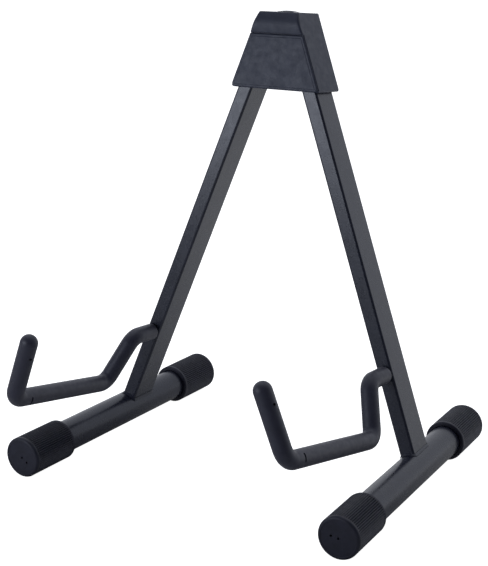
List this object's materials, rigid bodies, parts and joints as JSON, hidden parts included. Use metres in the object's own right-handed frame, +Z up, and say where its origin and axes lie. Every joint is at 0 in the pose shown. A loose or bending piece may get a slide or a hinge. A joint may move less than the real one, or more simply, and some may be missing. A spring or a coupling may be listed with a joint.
{
  "type": "folding floor stand for a guitar",
  "caption": "Folding A-frame floor stand: hinged tube legs, rubber-capped feet and sleeved cradle arms that hold a guitar body.",
  "frame": {"origin": "on the floor, at the bottom centre of the bounding box of the open stand", "axes": "+Z up, +Y towards the back of the stand (away from the guitar), +X towards the right-hand leg as seen from the front"},
  "size_m": [0.4076, 0.38, 0.4669],
  "materials": {
    "moulded_plastic": "fine textured black moulding",
    "satin_paint": "satin black powder coat",
    "cap_rubber": "matt black, finely ribbed",
    "sleeve_rubber": "soft matt black",
    "zinc_steel": "bright zinc plate",
    "black_steel": "black oxide",
    "nylon": "natural nylon"
  },
  "bodies": {
    "head": {"head_housing": "moulded_plastic", "head_front_cover": "moulded_plastic", "head_top_plug": "moulded_plastic", "left_pivot_bolt": "black_steel", "left_pivot_lock_nut": "zinc_steel", "left_pivot_front_washer": "nylon", "left_pivot_rear_washer": "nylon", "left_pivot_bushing": "zinc_steel", "right_pivot_bolt": "black_steel", "right_pivot_lock_nut": "zinc_steel", "right_pivot_front_washer": "nylon", "right_pivot_rear_washer": "nylon", "right_pivot_bushing": "zinc_steel"},
    "left_leg": {"left_leg_tube": "satin_paint", "left_foot_tube": "satin_paint", "left_foot_weld": "satin_paint", "left_arm_rod": "satin_paint", "left_arm_weld": "satin_paint", "left_arm_sleeve": "sleeve_rubber", "left_front_foot_cap": "cap_rubber", "left_rear_foot_cap": "cap_rubber"},
    "right_leg": {"right_leg_tube": "satin_paint", "right_foot_tube": "satin_paint", "right_foot_weld": "satin_paint", "right_arm_rod": "satin_paint", "right_arm_weld": "satin_paint", "right_arm_sleeve": "sleeve_rubber", "right_front_foot_cap": "cap_rubber", "right_rear_foot_cap": "cap_rubber"}
  },
  "joints": [
    {"name": "left_leg_fold", "type": "hinge", "parent": "head", "child": "left_leg", "pos_m": [-0.022, 0.08957, 0.42807], "axis": [0, -0.9962, 0.0872], "range_deg": [0, 20.7]},
    {"name": "right_leg_fold", "type": "hinge", "parent": "head", "child": "right_leg", "pos_m": [0.022, 0.08957, 0.42807], "axis": [0, 0.9962, -0.0872], "range_deg": [0, 20.7]}
  ]
}
